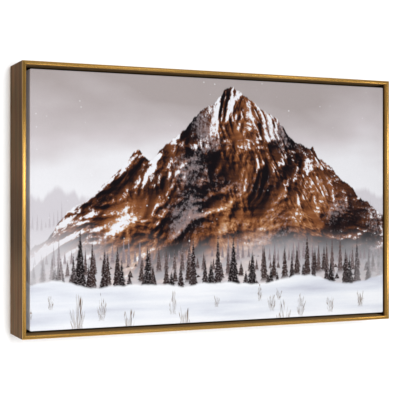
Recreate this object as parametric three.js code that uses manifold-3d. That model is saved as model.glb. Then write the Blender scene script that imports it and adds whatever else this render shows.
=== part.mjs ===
// A canvas print in a slim gold floater frame, as it hangs on a wall.
// Millimetres, +Z up. The picture faces -Y and the wall is the plane y = 0.
// The origin is the point of the wall where the hanger's middle notch sits on its nail.

import * as THREE from 'three';
import { mergeVertices } from 'three/addons/utils/BufferGeometryUtils.js';
import Module from 'manifold-3d';

const wasm = await Module();
wasm.setup();

// ---------- driving dimensions ----------

const INCH = 25.4;
const CLEARANCE = 0.3; // between pieces that touch

// the print: cloth wrapped round a stretcher
const PRINT_WIDTH = 16 * INCH;
const PRINT_HEIGHT = 10 * INCH;
const PRINT_DEPTH = 38.4;
const CLOTH_THICKNESS = 0.7;
const CLOTH_RETURN = 22; // cloth turned over the back of the bars

// the floater frame: an L-shaped moulding, mitred at the corners
const LIP_WIDTH = 3.6;
const LIP_EDGE_RADIUS = 0.7;
const FLOAT_GAP = 4; // open channel between the frame and the print
const FRAME_DEPTH = 50;
const PRINT_RECESS = 1; // the print's face behind the lip's
const LEDGE_WIDTH = 20; // the back flange, from the frame's outer side

// the stretcher
const BAR_WIDTH = 28;
const BAR_RIM = 3; // the part of a bar's front that the cloth touches
const BAR_BEVEL = 4.5; // how far the rest falls back from the cloth

// the wedges that tighten the stretcher's corners
const KEY_THICKNESS = 3;
const KEY_LENGTH = 24;
const KEY_TIP = 5;
const KEY_HEAD = 9;
const KEY_IN_SLOT = 8;
const KEY_LEVEL_LONG = 0.72; // where the long bars take theirs, as a share of the bars' depth
const KEY_LEVEL_SHORT = 0.46; // and the short bars, so that the two at a corner miss

// fastenings
const SCREW_HEAD_RADIUS = 3.1;
const SCREW_HEAD_HEIGHT = 1.7;
const SCREW_SHANK_RADIUS = 1.5;
const SCREW_LENGTH = 20;
const SCREW_INSET = 14.5; // from the frame's outer side
const SCREW_SPREAD = 132; // of the two on a long rail, from the middle
const NAIL_HEAD_RADIUS = 1.7;
const NAIL_HEAD_HEIGHT = 0.6;
const NAIL_SHANK_RADIUS = 0.8;
const NAIL_LENGTH = 3.6;
const HEAD_DOME = [[1, 0.35], [0.8, 0.8], [0.4, 1]]; // shares of a head's radius and height
const POINT_WIDTH = 0.9; // of a shank, as a share of its radius
const POINT_LENGTH = 1.5; // in shank radii

// the sawtooth hanger
const HANGER_LENGTH = 46;
const HANGER_HEIGHT = 9;
const HANGER_THICKNESS = 0.8;
const HANGER_RAISE = 1.1; // of its toothed middle, off the frame
const HANGER_EAR = 8; // the flat end with the nail hole
const HANGER_SLOPE = 2; // from the flat end up to the raised middle
const HANGER_CORNER = 1.5;
const HANGER_TEETH = 9;
const TOOTH_DEPTH = 1.6;
const HANGER_INSET = 7; // from the frame's top to the hanger's top edge

// the pads that keep the lower edge off the wall
const BUMPER_RADIUS = 5.5;
const BUMPER_HEIGHT = 2.2;
const BUMPER_SIDE = 0.7; // the upright part of its side, as a share of its height
const BUMPER_TOP = 0.9; // its flat top, as a share of its radius
const BUMPER_INSET = 10; // from the frame's outer sides

// how finely round things are cut
const LIP_STEPS = 3;
const HANGER_STEPS = 8;
const FASTENING_STEPS = 20;
const BUMPER_STEPS = 28;
const OVERCUT = 1; // how far a cutting tool stands out of what it cuts

// ---------- worked-out sizes ----------

const FRAME_WIDTH = PRINT_WIDTH + 2 * (FLOAT_GAP + LIP_WIDTH);
const FRAME_HEIGHT = PRINT_HEIGHT + 2 * (FLOAT_GAP + LIP_WIDTH);
const PRINT_BACK = PRINT_RECESS + PRINT_DEPTH;
const LEDGE_FRONT = PRINT_BACK + CLEARANCE;
const CLOTH_AND_CLEARANCE = CLOTH_THICKNESS + CLEARANCE;
const BAR_FRONT = PRINT_RECESS + CLOTH_AND_CLEARANCE;
const BAR_DEPTH = PRINT_DEPTH - 2 * CLOTH_AND_CLEARANCE;
const BAR_SPAN_X = PRINT_WIDTH - 2 * CLOTH_AND_CLEARANCE;
const BAR_SPAN_Z = PRINT_HEIGHT - 2 * CLOTH_AND_CLEARANCE;
const KEY_AT_MOUTH = KEY_TIP + ((KEY_HEAD - KEY_TIP) * KEY_IN_SLOT) / KEY_LENGTH;
const WALL = FRAME_DEPTH + CLEARANCE + BUMPER_HEIGHT;
const NOTCH_HEIGHT = FRAME_HEIGHT / 2 - HANGER_INSET - HANGER_HEIGHT + TOOTH_DEPTH;

// ---------- finishes ----------

const finish = (color, roughness, metalness) => () =>
  new THREE.MeshStandardMaterial({ color, roughness, metalness });

const brushedGold = finish(0xb98a48, 0.35, 1);
const printedCloth = finish(0xa8968f, 0.8, 0);
const pine = finish(0xd9b88a, 0.75, 0);
const beech = finish(0xcfa878, 0.7, 0);
const zinc = finish(0xb9bcc0, 0.35, 1);
const brassedSteel = finish(0xb99b58, 0.35, 1);
const feltPad = finish(0x3a3835, 0.95, 0);

// ---------- helpers ----------

// A closed mesh as a solid that can be joined and cut.
function toSolid(geometry) {
  const bare = geometry.clone();
  bare.deleteAttribute('normal');
  bare.deleteAttribute('uv');
  const merged = mergeVertices(bare, 1e-4);
  return new wasm.Manifold(new wasm.Mesh({
    numProp: 3,
    vertProperties: new Float32Array(merged.attributes.position.array),
    triVerts: new Uint32Array(merged.index.array),
  }));
}

function toGeometry(solid) {
  const { vertProperties, triVerts } = solid.getMesh();
  const geometry = new THREE.BufferGeometry();
  geometry.setAttribute('position', new THREE.BufferAttribute(vertProperties, 3));
  geometry.setIndex(new THREE.BufferAttribute(triVerts, 1));
  const faceted = geometry.toNonIndexed();
  faceted.computeVertexNormals();
  return faceted;
}

function cut(geometry, tools) {
  return toGeometry(tools.reduce((solid, tool) => solid.subtract(toSolid(tool)), toSolid(geometry)));
}

// A box given by its low and high corners.
function boxBetween(low, high) {
  const size = high.map((value, axis) => value - low[axis]);
  const box = new THREE.BoxGeometry(...size);
  box.translate(...high.map((value, axis) => (value + low[axis]) / 2));
  return box;
}

// A round pocket along Y, from one depth to another.
function roundPocket(x, z, radius, front, back) {
  const pocket = new THREE.CylinderGeometry(radius, radius, back - front, FASTENING_STEPS);
  pocket.translate(x, (front + back) / 2, z);
  return pocket;
}

// A profile drawn in (inset from the outer side, depth from the front), run along X with
// both ends cut at 45 degrees. The outer side is the plane z = 0 and the piece lies below it.
function mitredLength(profile, length) {
  const geometry = new THREE.ExtrudeGeometry(profile, {
    depth: length, bevelEnabled: false, curveSegments: LIP_STEPS,
  });
  geometry.translate(0, 0, -length / 2);
  geometry.rotateY(Math.PI / 2);
  const place = geometry.attributes.position;
  const relief = CLEARANCE / Math.SQRT2;
  for (let i = 0; i < place.count; i += 1) {
    const inset = -place.getZ(i);
    place.setX(i, Math.sign(place.getX(i)) * (length / 2 - inset - relief));
  }
  geometry.computeVertexNormals();
  return geometry;
}

function addMesh(parent, name, geometry, material) {
  const mesh = new THREE.Mesh(geometry, material());
  mesh.name = name;
  parent.add(mesh);
  return mesh;
}

// The four sides of a rectangle: how far each is from the middle, its length, and its turn.
function sidesOf(spanX, spanZ) {
  return [
    { side: 'top', reach: spanZ / 2, length: spanX, turn: 0 },
    { side: 'right', reach: spanX / 2, length: spanZ, turn: Math.PI / 2 },
    { side: 'bottom', reach: spanZ / 2, length: spanX, turn: Math.PI },
    { side: 'left', reach: spanX / 2, length: spanZ, turn: -Math.PI / 2 },
  ];
}

// Where the screws sit along a side, from its middle.
function screwPlaces(length) {
  return length > (PRINT_WIDTH + PRINT_HEIGHT) / 2 ? [-SCREW_SPREAD, SCREW_SPREAD] : [0];
}

// ---------- the floater frame ----------

function frameProfile() {
  const r = LIP_EDGE_RADIUS;
  const profile = new THREE.Shape();
  profile.moveTo(0, FRAME_DEPTH);
  profile.lineTo(0, r);
  profile.absarc(r, r, r, Math.PI, 1.5 * Math.PI, false);
  profile.absarc(LIP_WIDTH - r, r, r, 1.5 * Math.PI, 2 * Math.PI, false);
  profile.lineTo(LIP_WIDTH, LEDGE_FRONT);
  profile.lineTo(LEDGE_WIDTH, LEDGE_FRONT);
  profile.lineTo(LEDGE_WIDTH, FRAME_DEPTH);
  return profile;
}

const hangerNailX = (HANGER_LENGTH - HANGER_EAR) / 2;
const hangerMiddle = HANGER_INSET + HANGER_HEIGHT / 2;

function buildFrame(parent) {
  for (const { side, reach, length, turn } of sidesOf(FRAME_WIDTH, FRAME_HEIGHT)) {
    const pockets = screwPlaces(length).map((x) => roundPocket(
      x, -SCREW_INSET, SCREW_SHANK_RADIUS + CLEARANCE, LEDGE_FRONT - OVERCUT,
      FRAME_DEPTH + OVERCUT,
    ));
    if (side === 'top') {
      for (const x of [-hangerNailX, hangerNailX]) {
        pockets.push(roundPocket(
          x, -hangerMiddle, NAIL_SHANK_RADIUS + CLEARANCE, LEDGE_FRONT - OVERCUT,
          FRAME_DEPTH + OVERCUT,
        ));
      }
    }
    const rail = new THREE.Group();
    rail.rotation.y = turn;
    parent.add(rail);
    const mesh = addMesh(
      rail, `frame_${side}`, cut(mitredLength(frameProfile(), length), pockets), brushedGold,
    );
    mesh.position.z = reach;
  }
}

// ---------- the stretcher ----------

function barProfile() {
  const profile = new THREE.Shape();
  profile.moveTo(0, 0);
  profile.lineTo(BAR_RIM, 0);
  profile.lineTo(BAR_WIDTH, BAR_BEVEL);
  profile.lineTo(BAR_WIDTH, BAR_DEPTH);
  profile.lineTo(0, BAR_DEPTH);
  return profile;
}

const KEY_LEVELS = { long: BAR_DEPTH * KEY_LEVEL_LONG, short: BAR_DEPTH * KEY_LEVEL_SHORT };

// A bar takes the tips of two keys, one near each end.
function keySlots(length, level) {
  const slots = [];
  for (const end of [-1, 1]) {
    const corner = end * (length / 2 - BAR_WIDTH);
    const inner = corner - end * (KEY_AT_MOUTH + 2 * CLEARANCE);
    slots.push(boxBetween(
      [Math.min(corner, inner), level - CLEARANCE, -BAR_WIDTH - OVERCUT],
      [Math.max(corner, inner), level + KEY_THICKNESS + CLEARANCE,
        -BAR_WIDTH + KEY_IN_SLOT + CLEARANCE],
    ));
  }
  return slots;
}

function buildStretcher(parent) {
  const screwDepth = LEDGE_FRONT - CLEARANCE - CLOTH_AND_CLEARANCE - BAR_FRONT;
  const toBarSide = SCREW_INSET - LIP_WIDTH - FLOAT_GAP - CLOTH_AND_CLEARANCE;
  for (const { side, reach, length, turn } of sidesOf(BAR_SPAN_X, BAR_SPAN_Z)) {
    const level = length === BAR_SPAN_X ? KEY_LEVELS.long : KEY_LEVELS.short;
    const pilots = screwPlaces(length).map((x) => roundPocket(
      x, -toBarSide, SCREW_SHANK_RADIUS + CLEARANCE,
      FRAME_DEPTH - SCREW_LENGTH - OVERCUT - BAR_FRONT, screwDepth + OVERCUT,
    ));
    const rail = new THREE.Group();
    rail.rotation.y = turn;
    parent.add(rail);
    const geometry = cut(mitredLength(barProfile(), length), [...pilots, ...keySlots(length, level)]);
    const mesh = addMesh(rail, `stretcher_${side}`, geometry, pine);
    mesh.position.set(0, BAR_FRONT, reach);
  }
}

// A key is a thin wedge whose tip is in the slot of one bar and whose straight side lies
// against the bar that crosses it.
function keyGeometry() {
  const outline = new THREE.Shape();
  outline.moveTo(0, 0);
  outline.lineTo(KEY_LENGTH, 0);
  outline.lineTo(KEY_LENGTH, -KEY_TIP);
  outline.lineTo(0, -KEY_HEAD);
  const wedge = new THREE.ExtrudeGeometry(outline, { depth: KEY_THICKNESS, bevelEnabled: false });
  wedge.rotateX(Math.PI / 2);
  wedge.translate(-(KEY_LENGTH - KEY_IN_SLOT), KEY_THICKNESS, 0);
  return wedge;
}

// Places a wedge so that it points along one axis and lies against the other.
function placedKey(signX, signZ, alongX) {
  const geometry = keyGeometry();
  const place = geometry.attributes.position;
  const innerX = BAR_SPAN_X / 2 - BAR_WIDTH;
  const innerZ = BAR_SPAN_Z / 2 - BAR_WIDTH;
  const level = BAR_FRONT + (alongX ? KEY_LEVELS.short : KEY_LEVELS.long);
  for (let i = 0; i < place.count; i += 1) {
    const along = place.getX(i);
    const aside = CLEARANCE - place.getZ(i);
    const x = alongX ? innerX + along : innerX - aside;
    const z = alongX ? innerZ - aside : innerZ + along;
    place.setXYZ(i, signX * x, level + place.getY(i), signZ * z);
  }
  const turnedInsideOut = signX * signZ * (alongX ? 1 : -1) < 0;
  if (turnedInsideOut) flipFaces(geometry);
  geometry.computeVertexNormals();
  return geometry;
}

function flipFaces(geometry) {
  const place = geometry.attributes.position;
  for (let i = 0; i < place.count; i += 3) {
    const first = new THREE.Vector3().fromBufferAttribute(place, i);
    const last = new THREE.Vector3().fromBufferAttribute(place, i + 2);
    place.setXYZ(i, last.x, last.y, last.z);
    place.setXYZ(i + 2, first.x, first.y, first.z);
  }
}

function buildKeys(parent) {
  for (const [vertical, signZ] of [['top', 1], ['bottom', -1]]) {
    for (const [side, signX] of [['left', -1], ['right', 1]]) {
      for (const [direction, alongX] of [['across', true], ['up', false]]) {
        const name = `key_${vertical}_${side}_${direction}`;
        addMesh(parent, name, placedKey(signX, signZ, alongX), beech);
      }
    }
  }
}

// ---------- the printed cloth ----------

// A shallow tray: the picture, the four wrapped sides and the returns behind the bars.
function buildCloth(parent) {
  const halfX = PRINT_WIDTH / 2;
  const halfZ = PRINT_HEIGHT / 2;
  const t = CLOTH_THICKNESS;
  const block = boxBetween([-halfX, PRINT_RECESS, -halfZ], [halfX, PRINT_BACK, halfZ]);
  const inside = boxBetween(
    [-halfX + t, PRINT_RECESS + t, -halfZ + t], [halfX - t, PRINT_BACK - t, halfZ - t],
  );
  const window = boxBetween(
    [-halfX + CLOTH_RETURN, PRINT_BACK - 2 * t, -halfZ + CLOTH_RETURN],
    [halfX - CLOTH_RETURN, PRINT_BACK + OVERCUT, halfZ - CLOTH_RETURN],
  );
  const pilots = [];
  const toSide = SCREW_INSET - LIP_WIDTH - FLOAT_GAP;
  for (const x of screwPlaces(PRINT_WIDTH)) {
    for (const sign of [-1, 1]) pilots.push([x, sign * (halfZ - toSide)]);
  }
  for (const z of screwPlaces(PRINT_HEIGHT)) {
    for (const sign of [-1, 1]) pilots.push([sign * (halfX - toSide), z]);
  }
  const holes = pilots.map(([x, z]) => roundPocket(
    x, z, SCREW_SHANK_RADIUS + CLEARANCE, PRINT_BACK - 2 * t, PRINT_BACK + OVERCUT,
  ));
  addMesh(parent, 'canvas', cut(block, [inside, window, ...holes]), printedCloth);
}

// ---------- screws and nails ----------

// A headed fastening turned about Y: its shank points to the front, its domed head is behind.
function fasteningGeometry(headRadius, headHeight, shankRadius, length) {
  const outline = [
    new THREE.Vector2(0, -length),
    new THREE.Vector2(shankRadius * POINT_WIDTH, -length + shankRadius * POINT_LENGTH),
    new THREE.Vector2(shankRadius, 0),
    new THREE.Vector2(headRadius, 0),
    ...HEAD_DOME.map(([across, up]) => new THREE.Vector2(headRadius * across, headHeight * up)),
    new THREE.Vector2(0, headHeight),
  ];
  return new THREE.LatheGeometry(outline, FASTENING_STEPS);
}

function buildScrews(parent) {
  const shape = [SCREW_HEAD_RADIUS, SCREW_HEAD_HEIGHT, SCREW_SHANK_RADIUS, SCREW_LENGTH];
  for (const { side, reach, length, turn } of sidesOf(FRAME_WIDTH, FRAME_HEIGHT)) {
    const rail = new THREE.Group();
    rail.rotation.y = turn;
    parent.add(rail);
    screwPlaces(length).forEach((x, index) => {
      const screw = addMesh(rail, `screw_${side}_${index + 1}`, fasteningGeometry(...shape), zinc);
      screw.position.set(x, FRAME_DEPTH + CLEARANCE, reach - SCREW_INSET);
    });
  }
}

// ---------- the sawtooth hanger ----------

// The plate's outline with teeth along the lower edge, and points along the upper edge to
// match, so that the middle can be raised off the frame.
function hangerGeometry() {
  const half = HANGER_LENGTH / 2;
  const toothed = half - HANGER_EAR - HANGER_SLOPE;
  const pitch = (2 * toothed) / HANGER_TEETH;
  const top = HANGER_HEIGHT - TOOTH_DEPTH;
  const outline = new THREE.Shape();
  const corner = HANGER_CORNER;
  outline.moveTo(-half + corner, -TOOTH_DEPTH);
  outline.lineTo(-toothed - HANGER_SLOPE, -TOOTH_DEPTH);
  for (let tooth = 0; tooth < HANGER_TEETH; tooth += 1) {
    outline.lineTo(-toothed + tooth * pitch, -TOOTH_DEPTH);
    outline.lineTo(-toothed + (tooth + 0.5) * pitch, 0);
  }
  outline.lineTo(toothed, -TOOTH_DEPTH);
  outline.lineTo(toothed + HANGER_SLOPE, -TOOTH_DEPTH);
  outline.lineTo(half - corner, -TOOTH_DEPTH);
  outline.absarc(half - corner, -TOOTH_DEPTH + corner, corner, -Math.PI / 2, 0, false);
  outline.absarc(half - corner, top - corner, corner, 0, Math.PI / 2, false);
  outline.lineTo(toothed + HANGER_SLOPE, top);
  for (let tooth = HANGER_TEETH; tooth >= 0; tooth -= 1) {
    outline.lineTo(-toothed + tooth * pitch, top);
  }
  outline.lineTo(-toothed - HANGER_SLOPE, top);
  outline.absarc(-half + corner, top - corner, corner, Math.PI / 2, Math.PI, false);
  outline.absarc(-half + corner, -TOOTH_DEPTH + corner, corner, Math.PI, 1.5 * Math.PI, false);
  for (const sign of [-1, 1]) {
    const hole = new THREE.Path();
    const middle = (top - TOOTH_DEPTH) / 2;
    hole.absarc(sign * hangerNailX, middle, NAIL_SHANK_RADIUS + CLEARANCE, 0, 2 * Math.PI, true);
    outline.holes.push(hole);
  }
  const plate = new THREE.ExtrudeGeometry(outline, {
    depth: HANGER_THICKNESS, bevelEnabled: false, curveSegments: HANGER_STEPS,
  });
  plate.rotateX(Math.PI / 2);
  plate.translate(0, HANGER_THICKNESS, 0);
  const place = plate.attributes.position;
  for (let i = 0; i < place.count; i += 1) {
    const beyond = Math.abs(place.getX(i)) - toothed;
    const raise = HANGER_RAISE * THREE.MathUtils.clamp(1 - beyond / HANGER_SLOPE, 0, 1);
    place.setY(i, place.getY(i) + raise);
  }
  plate.computeVertexNormals();
  return plate;
}

function buildHanger(parent) {
  const hanger = addMesh(parent, 'hanger', hangerGeometry(), brassedSteel);
  hanger.position.set(0, FRAME_DEPTH + CLEARANCE, NOTCH_HEIGHT);
  const shape = [NAIL_HEAD_RADIUS, NAIL_HEAD_HEIGHT, NAIL_SHANK_RADIUS, NAIL_LENGTH];
  for (const [side, sign] of [['left', -1], ['right', 1]]) {
    const nail = addMesh(parent, `hanger_nail_${side}`, fasteningGeometry(...shape), brassedSteel);
    const onPlate = FRAME_DEPTH + HANGER_THICKNESS + 2 * CLEARANCE;
    nail.position.set(sign * hangerNailX, onPlate, FRAME_HEIGHT / 2 - hangerMiddle);
  }
}

// ---------- the wall pads ----------

function buildBumpers(parent) {
  const outline = [
    new THREE.Vector2(0, 0),
    new THREE.Vector2(BUMPER_RADIUS, 0),
    new THREE.Vector2(BUMPER_RADIUS, BUMPER_HEIGHT * BUMPER_SIDE),
    new THREE.Vector2(BUMPER_RADIUS * BUMPER_TOP, BUMPER_HEIGHT),
    new THREE.Vector2(0, BUMPER_HEIGHT),
  ];
  for (const [side, sign] of [['left', -1], ['right', 1]]) {
    const pad = new THREE.LatheGeometry(outline, BUMPER_STEPS);
    const bumper = addMesh(parent, `bumper_${side}`, pad, feltPad);
    bumper.position.set(
      sign * (FRAME_WIDTH / 2 - BUMPER_INSET),
      FRAME_DEPTH + CLEARANCE,
      -FRAME_HEIGHT / 2 + BUMPER_INSET,
    );
  }
}

// ---------- the whole picture ----------

const group = new THREE.Group();
const picture = new THREE.Group(); // y = 0 is the lip's front here, and z = 0 the middle
picture.position.set(0, -WALL, -NOTCH_HEIGHT);
group.add(picture);

buildFrame(picture);
buildStretcher(picture);
buildKeys(picture);
buildCloth(picture);
buildScrews(picture);
buildHanger(picture);
buildBumpers(picture);

export default group;
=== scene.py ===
# A canvas print in a slim gold floater frame, as it hangs on a wall.
# Metres, +Z up. The picture faces -Y and the wall is the plane y = 0.

import math

import bmesh
import bpy
from mathutils import Matrix, Vector


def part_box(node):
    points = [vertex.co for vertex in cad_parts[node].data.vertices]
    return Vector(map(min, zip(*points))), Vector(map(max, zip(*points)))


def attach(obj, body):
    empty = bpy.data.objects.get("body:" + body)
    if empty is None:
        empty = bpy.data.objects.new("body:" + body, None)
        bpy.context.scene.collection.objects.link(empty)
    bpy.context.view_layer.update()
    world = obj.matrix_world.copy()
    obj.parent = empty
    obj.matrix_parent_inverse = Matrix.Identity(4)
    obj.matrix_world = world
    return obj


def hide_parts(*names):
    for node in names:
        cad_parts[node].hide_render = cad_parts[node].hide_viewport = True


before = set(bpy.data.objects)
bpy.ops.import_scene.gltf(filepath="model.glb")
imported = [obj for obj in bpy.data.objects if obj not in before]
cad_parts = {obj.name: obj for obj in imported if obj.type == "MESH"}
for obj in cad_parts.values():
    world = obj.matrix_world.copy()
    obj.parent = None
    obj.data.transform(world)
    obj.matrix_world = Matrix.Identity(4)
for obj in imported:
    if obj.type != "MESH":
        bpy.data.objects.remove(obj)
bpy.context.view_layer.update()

BODY = "root"

# ---------- sizes, from the frame's nodes ----------

LEFT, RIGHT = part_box("frame_left")[0].x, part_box("frame_right")[1].x
BOTTOM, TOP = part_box("frame_bottom")[0].z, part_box("frame_top")[1].z
LIP_FRONT, FRAME_BACK = (corner.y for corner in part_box("frame_top"))
LEDGE_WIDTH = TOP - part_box("frame_top")[0].z
PRINT_LOW, PRINT_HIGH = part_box("canvas")
BAR_LOW, BAR_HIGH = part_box("stretcher_top")

FRAME_WIDTH, FRAME_HEIGHT, FRAME_DEPTH = RIGHT - LEFT, TOP - BOTTOM, FRAME_BACK - LIP_FRONT
PRINT_WIDTH, PRINT_DEPTH, PRINT_HEIGHT = PRINT_HIGH - PRINT_LOW
MIDDLE = Vector(((LEFT + RIGHT) / 2, 0, (TOP + BOTTOM) / 2))
CLEARANCE = 0.0003
LEDGE_FRONT = PRINT_HIGH.y + CLEARANCE - LIP_FRONT  # behind the lip's face

# ---------- sizes of what is finer than the frame's nodes ----------

LIP_WIDTH = 0.0036
LIP_EDGE_RADIUS = 0.0004
LEDGE_FILLET = 0.0006
LEDGE_EASE = 0.0005  # taken off the ledge's corners
OUTER_EASE = 0.0006  # and off the moulding's outer back corner
MITRE_RELIEF = 0.00006
BAR_EASE = 0.0004
WEDGE_EASE = 0.0002
HANGER_EASE = 0.00012

CLOTH_THICKNESS = 0.0005
CLOTH_RETURN = 0.022
CLOTH_EDGE_RADIUS = 0.0009
CLOTH_CORNER_RADIUS = 0.0013
BLEED = 0.0035  # of the print, past the back edge
WEAVE = 0.0009  # from one thread to the next but one
FOLD_START = 0.0015  # of a corner's folded layer, from the print's corner
FOLD_END = 0.0208
FOLD_RUN = 0.009  # along the long side
FOLD_THICKNESS = 0.00024
FOLD_EDGE_THICKNESS = 0.00016  # where it thins out along the long side
FOLD_LIFT = 0.00002  # off the cloth

STAPLE_INSET = 0.0172  # from the print's edge
STAPLE_TRIM = 0.024  # from a row's corner to its first staple
STAPLE_LIFT = 0.00018  # of the wire's middle, off the cloth
STAPLES = {"Spacing": 0.036, "Crown": 0.0098, "Leg": 0.006, "Wire": 0.00062, "Tilt": 0.16, "Seed": 4}
CORNER_NAIL_INSETS = (0.0045, 0.0158)  # from the frame's corner
CORNER_NAIL_CREST = 0.0009
CORNER_NAIL_STEP = 0.0017
CORNER_NAIL_THICKNESS = 0.00064
CORNER_NAIL_DEPTH = 0.004
CORNER_NAIL_LIFT = 0.00005
NAIL_SHANK_RADIUS = 0.0008
NAIL_POINT = 0.0012
NAIL_HEAD_HEIGHT = 0.0006
PAD_EDGE_RADIUS = 0.0008

FLOOR_Z = -1.1
WALL_Y = 0.0003
STAGE_REACH = 6.0


# ---------- camera ----------

CAMERA_LENS = 89.97
CAMERA_SENSOR = 36
CAMERA_X = -0.4466
CAMERA_DISTANCE = 0.947  # in front of the lip
CAMERA_TURN = -24.05


def build_camera():
    data = bpy.data.cameras.new("viewpoint")
    data.sensor_width = CAMERA_SENSOR
    data.lens = CAMERA_LENS
    camera = bpy.data.objects.new("viewpoint", data)
    camera.location = (CAMERA_X, LIP_FRONT - CAMERA_DISTANCE, MIDDLE.z)
    camera.rotation_euler = (math.radians(90), 0, math.radians(CAMERA_TURN))
    bpy.context.scene.collection.objects.link(camera)
    bpy.context.scene.camera = camera


# ---------- light ----------

ROOM_COLOUR = (0.95, 0.972, 1, 1)
ROOM_STRENGTH = 0.4

# the key light's strips start at one line and reach unequally far right, so that the shade
# on the wall beside the frame thins out softly
KEY_LEFT = -0.315
KEY_REACHES = (-0.085, 0.06, 0.21, 0.36)
KEY_Y, KEY_Z = -2.6, 0.065
KEY_HEIGHT = 0.93
KEY_POWER = 35  # for each metre of a strip's width

# the soft box that lights only the cloth, on its left side too
WINDOW_PLACE = (-0.9, -2.5, MIDDLE.z + 0.15)
WINDOW_SIZE = (0.3, 0.8)
WINDOW_POWER = 60

# the bright cards that the gold mirrors, on a plane in front of the picture: how far right
# of its middle and above it, their width and height, and their power
CARD_DISTANCE = 1.5
CARDS = (
    (0.17, 0.052, 0.30, 0.135, 0.34),
    (0.17, -0.190, 0.26, 0.13, 0.06),
    (1.28, 0.150, 0.18, 0.12, 0.26),
    (1.28, -0.190, 0.18, 0.12, 0.26),
    (0.45, 0.342, 0.22, 0.10, 0.06),
    (0.91, 0.342, 0.12, 0.10, 0.08),
    (0.45, -0.342, 0.22, 0.10, 0.05),
    (0.93, -0.342, 0.16, 0.10, 0.03),
)

# the soft boxes for the back: place, size and power
BACK_LIGHTS = {
    "behind_high": ((0.2, 2.4, 1.2), (1.4, 1.0), 14),
    "behind_low": ((-0.3, 2.4, -0.6), (1.0, 1.0), 8),
}


def soft_light(name, place, size, power, glossy=True, diffuse=True):
    """A soft box that faces the picture's middle."""
    data = bpy.data.lights.new(name, "AREA")
    data.shape = "RECTANGLE"
    data.size, data.size_y = size
    data.energy = power
    light = bpy.data.objects.new(name, data)
    light.location = place
    light.rotation_euler = (MIDDLE - Vector(place)).to_track_quat("-Z", "Y").to_euler()
    light.visible_glossy, light.visible_diffuse = glossy, diffuse
    light.visible_camera = False
    bpy.context.scene.collection.objects.link(light)
    return light


def aim_only(light, pieces, state):
    """Lights only these pieces, or all but these."""
    group = bpy.data.collections.new(light.name + "_receivers")
    for piece in pieces:
        group.objects.link(piece)
    light.light_linking.receiver_collection = group
    for member in group.collection_objects:
        member.light_linking.link_state = state


def build_room():
    world = bpy.data.worlds.new("room")
    world.use_nodes = True
    background = world.node_tree.nodes["Background"]
    background.inputs["Color"].default_value = ROOM_COLOUR
    background.inputs["Strength"].default_value = ROOM_STRENGTH
    bpy.context.scene.world = world
    bpy.context.scene.view_settings.view_transform = "Standard"


def build_light(canvas):
    for index, reach in enumerate(KEY_REACHES):
        width = reach - KEY_LEFT
        place = (KEY_LEFT + width / 2, KEY_Y, KEY_Z)
        key = soft_light("key_%d" % index, place, (width, KEY_HEIGHT), KEY_POWER * width, glossy=False)
        key.rotation_euler = (math.radians(90), 0, 0)
        aim_only(key, [canvas], "EXCLUDE")
    window = soft_light("window", WINDOW_PLACE, WINDOW_SIZE, WINDOW_POWER, glossy=False)
    aim_only(window, [canvas], "INCLUDE")
    window.light_linking.blocker_collection = window.light_linking.receiver_collection
    for index, (x, up, wide, tall, power) in enumerate(CARDS):
        place = (x, LIP_FRONT - CARD_DISTANCE, MIDDLE.z + up)
        soft_light("card_%d" % index, place, (wide, tall), power, diffuse=False)
    for name, (place, size, power) in BACK_LIGHTS.items():
        soft_light(name, place, size, power)


# ---------- node graphs ----------

def linear(code):
    """A colour such as "b8863f" as the scene's own linear numbers."""
    parts = [int(code[i:i + 2], 16) / 255 for i in (0, 2, 4)]
    return [c / 12.92 if c <= 0.04045 else ((c + 0.055) / 1.055) ** 2.4 for c in parts]


class Value:
    """An output socket. Arithmetic on it adds Math nodes."""

    def __init__(self, graph, socket):
        self.graph, self.socket = graph, socket

    def __add__(self, other):
        return self.graph.math("ADD", self, other)

    def __sub__(self, other):
        return self.graph.math("SUBTRACT", self, other)

    def __rsub__(self, other):
        return self.graph.math("SUBTRACT", other, self)

    def __mul__(self, other):
        return self.graph.math("MULTIPLY", self, other)

    def __truediv__(self, other):
        return self.graph.math("DIVIDE", self, other)

    def __neg__(self):
        return self.graph.math("MULTIPLY", self, -1.0)

    def __abs__(self):
        return self.graph.math("ABSOLUTE", self)

    __radd__, __rmul__ = __add__, __mul__


def named(sockets, name):
    """A socket by its number, its identifier or its name."""
    if isinstance(name, int):
        return sockets[name]
    return next((s for s in sockets if s.identifier == name), None) or sockets[name]


class Graph:
    def __init__(self, tree):
        self.tree = tree

    def add(self, kind, settings=None, sockets=None, out=0):
        """A node of any type: its settings, then the values or links of its sockets."""
        node = self.tree.nodes.new(kind)
        for name, value in (settings or {}).items():
            if name == "stops":
                self.set_stops(node.color_ramp, value)
            else:
                setattr(node, name, value)
        for name, value in (sockets or {}).items():
            socket = named(node.inputs, name)
            if isinstance(value, Value):
                self.tree.links.new(value.socket, socket)
            elif isinstance(value, str) and socket.type == "RGBA":
                socket.default_value = (*linear(value), 1)
            else:
                socket.default_value = value
        return Value(self, named(node.outputs, out)) if len(node.outputs) else None

    @staticmethod
    def set_stops(ramp, stops):
        while len(ramp.elements) < len(stops):
            ramp.elements.new(1)
        for element, (place, code) in zip(ramp.elements, stops):
            element.position = place
            element.color = (*linear(code), 1)

    def math(self, operation, *values):
        return self.add("ShaderNodeMath", {"operation": operation}, dict(enumerate(values)))

    def join(self, x=0.0, y=0.0, z=0.0):
        return self.add("ShaderNodeCombineXYZ", None, {"X": x, "Y": y, "Z": z})

    def split(self, vector):
        return [self.add("ShaderNodeSeparateXYZ", None, {0: vector}, axis) for axis in "XYZ"]


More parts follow.
